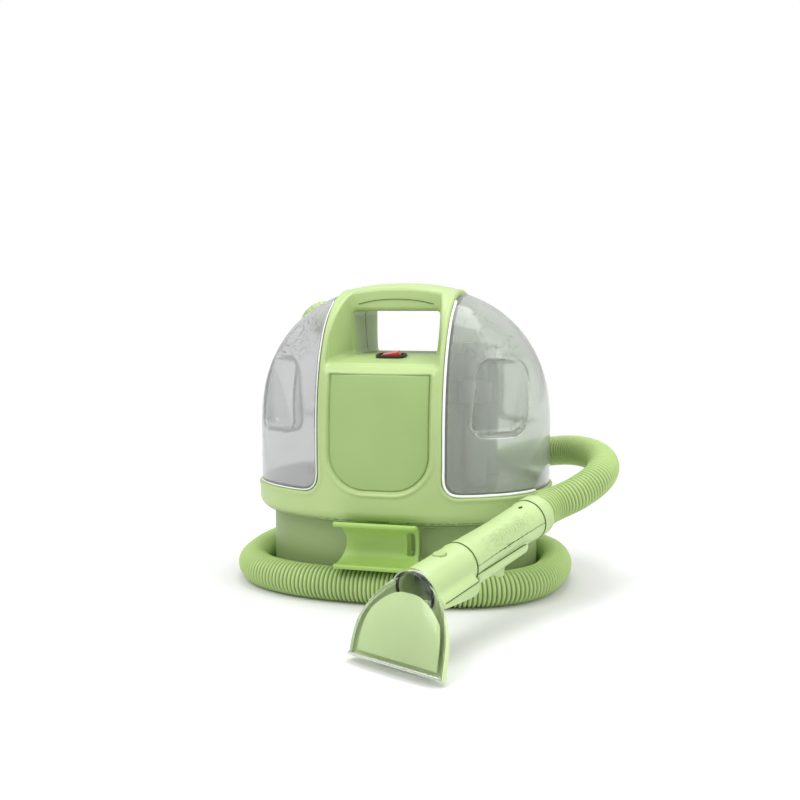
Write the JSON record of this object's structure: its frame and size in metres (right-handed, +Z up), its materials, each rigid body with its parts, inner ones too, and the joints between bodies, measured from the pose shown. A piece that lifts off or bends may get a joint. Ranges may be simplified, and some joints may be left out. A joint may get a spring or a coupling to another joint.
{
  "type": "portable spot extractor",
  "caption": "Portable spot extractor: domed body with two clear tanks, arched handle, a hose wrapped round the base and a spray wand with a clear-fronted suction nozzle.",
  "frame": {"origin": "middle of the base plate's underside, on the floor under the domed body", "axes": "+Z up, front faces -Y, recovery tank on +X"},
  "size_m": [0.3737, 0.439, 0.29],
  "materials": {
    "green_plastic": "satin moulded",
    "green_hose": "corrugated, satin",
    "clear_smoke": "smoke-tinted clear plastic",
    "clear_window": "clear plastic",
    "clear_tube": "clear flexible tube",
    "black_plastic": "satin",
    "grey_plastic": "matte",
    "red_plastic": "gloss",
    "steel": "zinc plated",
    "spring_steel": "drawn wire",
    "black_rubber": "matte"
  },
  "bodies": {
    "base": {"base_plate": "green_plastic", "foot_pads": "black_rubber", "base_screws": "steel", "hose_drum": "green_plastic", "tank_tray": "green_plastic", "front_shell": "green_plastic", "rear_shell": "green_plastic", "shell_screws": "steel", "front_panel": "green_plastic", "tool_clip": "green_plastic", "button_bezel": "black_plastic", "switch_body": "black_plastic", "cord_gland": "black_plastic", "cord_wrap": "green_plastic", "exhaust_grille": "green_plastic", "hose_port": "green_plastic", "fan_housing": "grey_plastic", "motor_can": "steel", "motor_mount": "black_rubber", "motor_bearings": "steel", "pump_body": "black_plastic", "pump_spring": "spring_steel", "water_line": "clear_tube", "supply_line": "clear_tube", "intake_duct": "grey_plastic", "inlet_duct": "grey_plastic", "valve_socket": "grey_plastic", "dock_seals": "black_rubber", "flex_hose": "green_hose"},
    "rotor": {"motor_shaft": "steel", "impeller": "grey_plastic"},
    "rocker": {"power_rocker": "red_plastic"},
    "pump_piston": {"pump_plunger": "steel"},
    "clean_tank": {"clean_tank_shell": "clear_smoke", "clean_tank_wall": "clear_smoke", "clean_valve_body": "grey_plastic", "clean_valve_spring": "spring_steel", "fill_neck": "green_plastic"},
    "clean_valve": {"clean_valve_stem": "black_plastic"},
    "cap": {"fill_cap": "green_plastic", "fill_cap_gasket": "black_rubber"},
    "dirty_tank": {"dirty_tank_shell": "clear_smoke", "dirty_tank_wall": "clear_smoke", "inlet_stack": "clear_smoke", "suction_stack": "clear_smoke"},
    "float_ring": {"float": "grey_plastic"},
    "wand": {"wand_upper_shell": "green_plastic", "wand_lower_shell": "green_plastic", "hose_cuff": "green_plastic", "wand_screws": "steel", "spray_valve": "black_plastic", "trigger_pin": "steel", "trigger_spring": "spring_steel"},
    "trigger_lever": {"trigger": "green_plastic"},
    "nozzle": {"nozzle_body": "green_plastic", "nozzle_window": "clear_window", "spray_tip": "black_plastic", "release_spring": "spring_steel"},
    "latch_button": {"release_button": "green_plastic"}
  },
  "joints": [
    {"name": "power_switch", "type": "hinge", "parent": "base", "child": "rocker", "pos_m": [0, -0.051, 0.21267], "axis": [0, 0.9907, 0.1357], "range_deg": [0, 14]},
    {"name": "motor_spin", "type": "hinge", "parent": "base", "child": "rotor", "pos_m": [0, 0.012, 0.08], "axis": [0, 0, 1], "continuous": true},
    {"name": "pump_stroke", "type": "slide", "parent": "base", "child": "pump_piston", "axis": [0, 1, 0], "range_m": [-0.003, 0.003], "stiffness_N_per_m": 400, "deforming": ["pump_spring"]},
    {"name": "clean_tank_lift", "type": "slide", "parent": "base", "child": "clean_tank", "axis": [0, 0, 1], "range_m": [0, 0.08]},
    {"name": "clean_valve_stroke", "type": "slide", "parent": "clean_tank", "child": "clean_valve", "axis": [0, 0, 1], "range_m": [-0.003, 0], "stiffness_N_per_m": 200, "deforming": ["clean_valve_spring"]},
    {"name": "fill_cap_pull", "type": "slide", "parent": "clean_tank", "child": "cap", "axis": [-0.6156, 0.3218, 0.7193], "range_m": [0, 0.03]},
    {"name": "dirty_tank_lift", "type": "slide", "parent": "base", "child": "dirty_tank", "axis": [0, 0, 1], "range_m": [0, 0.08]},
    {"name": "float_rise", "type": "slide", "parent": "dirty_tank", "child": "float_ring", "axis": [0, 0, 1], "range_m": [0, 0.023]},
    {"name": "wand_raise", "type": "hinge", "parent": "base", "child": "wand", "pos_m": [0.14197, -0.08646, 0.08473], "axis": [-0.9056, 0.4242, 0], "range_deg": [0, 25], "deforming": ["flex_hose"]},
    {"name": "trigger_pull", "type": "hinge", "parent": "wand", "child": "trigger_lever", "pos_m": [0.10374, -0.16806, 0.05498], "axis": [0.9056, -0.4242, 0], "range_deg": [0, 12], "stiffness_Nm_per_rad": 0.3, "springref_deg": -5.73, "deforming": ["trigger_spring"]},
    {"name": "nozzle_pull", "type": "slide", "parent": "wand", "child": "nozzle", "axis": [-0.4172, -0.8907, -0.1805], "range_m": [0, 0.03]},
    {"name": "release_press", "type": "slide", "parent": "nozzle", "child": "latch_button", "axis": [0.0766, 0.1635, -0.9836], "range_m": [0, 0.0015], "stiffness_N_per_m": 400, "deforming": ["release_spring"]}
  ]
}
